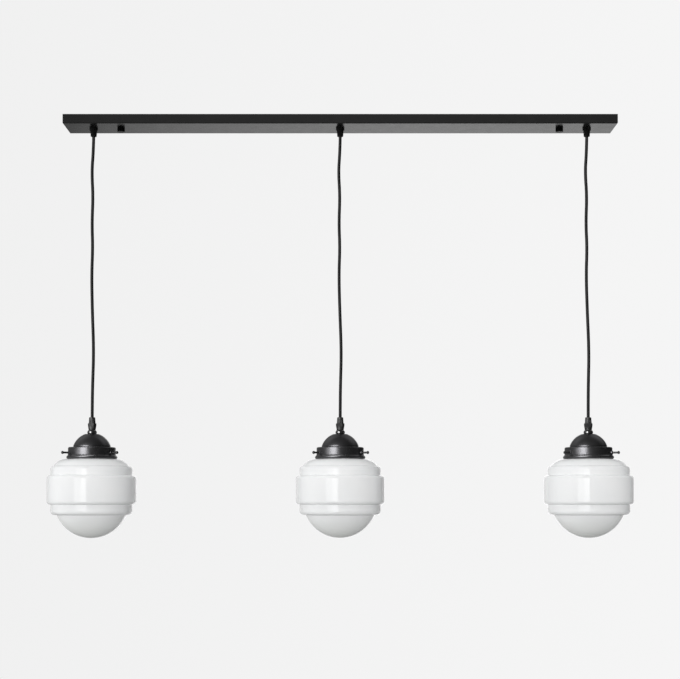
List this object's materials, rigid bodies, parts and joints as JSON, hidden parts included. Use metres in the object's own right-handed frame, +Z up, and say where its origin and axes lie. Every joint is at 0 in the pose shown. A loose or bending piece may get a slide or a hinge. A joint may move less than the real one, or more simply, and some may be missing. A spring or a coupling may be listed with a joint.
{
  "type": "multi-pendant light",
  "caption": "Bar ceiling light: a flat black steel beam carries a row of hanging cords, each ending in a black dome and a screw gallery that holds a stepped opal glass globe.",
  "frame": {"origin": "centre of the ceiling bracket's top face, in the ceiling plane", "axes": "+X along the beam, +Y away from the picture's viewer, +Z up towards the ceiling"},
  "size_m": [1.0606, 0.1606, 0.7638],
  "materials": {
    "beam_paint": "satin powder coat",
    "zinc_steel": "zinc plated",
    "nut_black": "satin",
    "grip_plastic": "satin",
    "brass": "plain",
    "terminal_plastic": "matte",
    "cord_jacket": "matte",
    "wire_brown": "gloss",
    "wire_blue": "gloss",
    "wire_green": "gloss",
    "gloss_black": "gloss",
    "satin_black": "satin, spun",
    "screw_black": "satin",
    "holder_plastic": "matte",
    "cap_metal": "plain",
    "bulb_glass": "frosted",
    "opal_glass": "gloss opal"
  },
  "bodies": {
    "beam": {"beam_housing": "beam_paint", "ceiling_bracket": "zinc_steel", "bracket_studs": "zinc_steel", "upper_grips": "grip_plastic", "grip_locknuts": "brass", "terminal_block": "terminal_plastic", "terminal_screws": "zinc_steel", "cord_tails": "cord_jacket", "live_wires": "wire_brown", "neutral_wires": "wire_blue", "earth_wires": "wire_green", "earth_screw": "zinc_steel"},
    "nut_left": {"ceiling_nut_left": "nut_black"},
    "nut_right": {"ceiling_nut_right": "nut_black"},
    "neck_left": {"cord_neck_left": "cord_jacket"},
    "cord_left": {"cord_left": "cord_jacket"},
    "pendant_left": {"lower_grip_left": "grip_plastic", "collar_left": "gloss_black", "nipple_left": "zinc_steel", "dome_left": "satin_black", "gallery_left": "satin_black", "lampholder_left": "holder_plastic", "shade_ring_left": "holder_plastic", "bulb_cap_left": "cap_metal", "bulb_left": "bulb_glass", "glass_shade_left": "opal_glass"},
    "screw_front_left_left": {"screw_front_left_left": "screw_black"},
    "screw_front_right_left": {"screw_front_right_left": "screw_black"},
    "screw_back_left": {"screw_back_left": "screw_black"},
    "neck_middle": {"cord_neck_middle": "cord_jacket"},
    "cord_middle": {"cord_middle": "cord_jacket"},
    "pendant_middle": {"lower_grip_middle": "grip_plastic", "collar_middle": "gloss_black", "nipple_middle": "zinc_steel", "dome_middle": "satin_black", "gallery_middle": "satin_black", "lampholder_middle": "holder_plastic", "shade_ring_middle": "holder_plastic", "bulb_cap_middle": "cap_metal", "bulb_middle": "bulb_glass", "glass_shade_middle": "opal_glass"},
    "screw_front_left_middle": {"screw_front_left_middle": "screw_black"},
    "screw_front_right_middle": {"screw_front_right_middle": "screw_black"},
    "screw_back_middle": {"screw_back_middle": "screw_black"},
    "neck_right": {"cord_neck_right": "cord_jacket"},
    "cord_right": {"cord_right": "cord_jacket"},
    "pendant_right": {"lower_grip_right": "grip_plastic", "collar_right": "gloss_black", "nipple_right": "zinc_steel", "dome_right": "satin_black", "gallery_right": "satin_black", "lampholder_right": "holder_plastic", "shade_ring_right": "holder_plastic", "bulb_cap_right": "cap_metal", "bulb_right": "bulb_glass", "glass_shade_right": "opal_glass"},
    "screw_front_left_right": {"screw_front_left_right": "screw_black"},
    "screw_front_right_right": {"screw_front_right_right": "screw_black"},
    "screw_back_right": {"screw_back_right": "screw_black"}
  },
  "joints": [
    {"name": "nut_slide_left", "type": "slide", "parent": "beam", "child": "nut_left", "axis": [0, 0, -1], "range_m": [0, 0.01]},
    {"name": "nut_slide_right", "type": "slide", "parent": "beam", "child": "nut_right", "axis": [0, 0, -1], "range_m": [0, 0.01]},
    {"name": "swing_side_left", "type": "hinge", "parent": "beam", "child": "neck_left", "pos_m": [-0.45, 0, -0.0265], "axis": [0, 1, 0], "range_deg": [-10, 10]},
    {"name": "swing_front_left", "type": "hinge", "parent": "neck_left", "child": "cord_left", "pos_m": [-0.45, 0, -0.0315], "axis": [1, 0, 0], "range_deg": [-25, 25]},
    {"name": "twist_left", "type": "hinge", "parent": "cord_left", "child": "pendant_left", "pos_m": [-0.45, 0, -0.5451], "axis": [0, 0, 1], "range_deg": [-180, 180], "stiffness_Nm_per_rad": 0.02},
    {"name": "screw_slide_front_left_left", "type": "slide", "parent": "pendant_left", "child": "screw_front_left_left", "axis": [-0.848, -0.5299, 0], "range_m": [0, 0.005]},
    {"name": "screw_slide_front_right_left", "type": "slide", "parent": "pendant_left", "child": "screw_front_right_left", "axis": [0.8829, -0.4695, 0], "range_m": [0, 0.005]},
    {"name": "screw_slide_back_left", "type": "slide", "parent": "pendant_left", "child": "screw_back_left", "axis": [-0.0349, 0.9994, 0], "range_m": [0, 0.005]},
    {"name": "swing_side_middle", "type": "hinge", "parent": "beam", "child": "neck_middle", "pos_m": [0, 0, -0.0265], "axis": [0, 1, 0], "range_deg": [-10, 10]},
    {"name": "swing_front_middle", "type": "hinge", "parent": "neck_middle", "child": "cord_middle", "pos_m": [0, 0, -0.0315], "axis": [1, 0, 0], "range_deg": [-25, 25]},
    {"name": "twist_middle", "type": "hinge", "parent": "cord_middle", "child": "pendant_middle", "pos_m": [0, 0, -0.5451], "axis": [0, 0, 1], "range_deg": [-180, 180], "stiffness_Nm_per_rad": 0.02},
    {"name": "screw_slide_front_left_middle", "type": "slide", "parent": "pendant_middle", "child": "screw_front_left_middle", "axis": [-0.848, -0.5299, 0], "range_m": [0, 0.005]},
    {"name": "screw_slide_front_right_middle", "type": "slide", "parent": "pendant_middle", "child": "screw_front_right_middle", "axis": [0.8829, -0.4695, 0], "range_m": [0, 0.005]},
    {"name": "screw_slide_back_middle", "type": "slide", "parent": "pendant_middle", "child": "screw_back_middle", "axis": [-0.0349, 0.9994, 0], "range_m": [0, 0.005]},
    {"name": "swing_side_right", "type": "hinge", "parent": "beam", "child": "neck_right", "pos_m": [0.45, 0, -0.0265], "axis": [0, 1, 0], "range_deg": [-10, 10]},
    {"name": "swing_front_right", "type": "hinge", "parent": "neck_right", "child": "cord_right", "pos_m": [0.45, 0, -0.0315], "axis": [1, 0, 0], "range_deg": [-25, 25]},
    {"name": "twist_right", "type": "hinge", "parent": "cord_right", "child": "pendant_right", "pos_m": [0.45, 0, -0.5451], "axis": [0, 0, 1], "range_deg": [-180, 180], "stiffness_Nm_per_rad": 0.02},
    {"name": "screw_slide_front_left_right", "type": "slide", "parent": "pendant_right", "child": "screw_front_left_right", "axis": [-0.848, -0.5299, 0], "range_m": [0, 0.005]},
    {"name": "screw_slide_front_right_right", "type": "slide", "parent": "pendant_right", "child": "screw_front_right_right", "axis": [0.8829, -0.4695, 0], "range_m": [0, 0.005]},
    {"name": "screw_slide_back_right", "type": "slide", "parent": "pendant_right", "child": "screw_back_right", "axis": [-0.0349, 0.9994, 0], "range_m": [0, 0.005]}
  ]
}
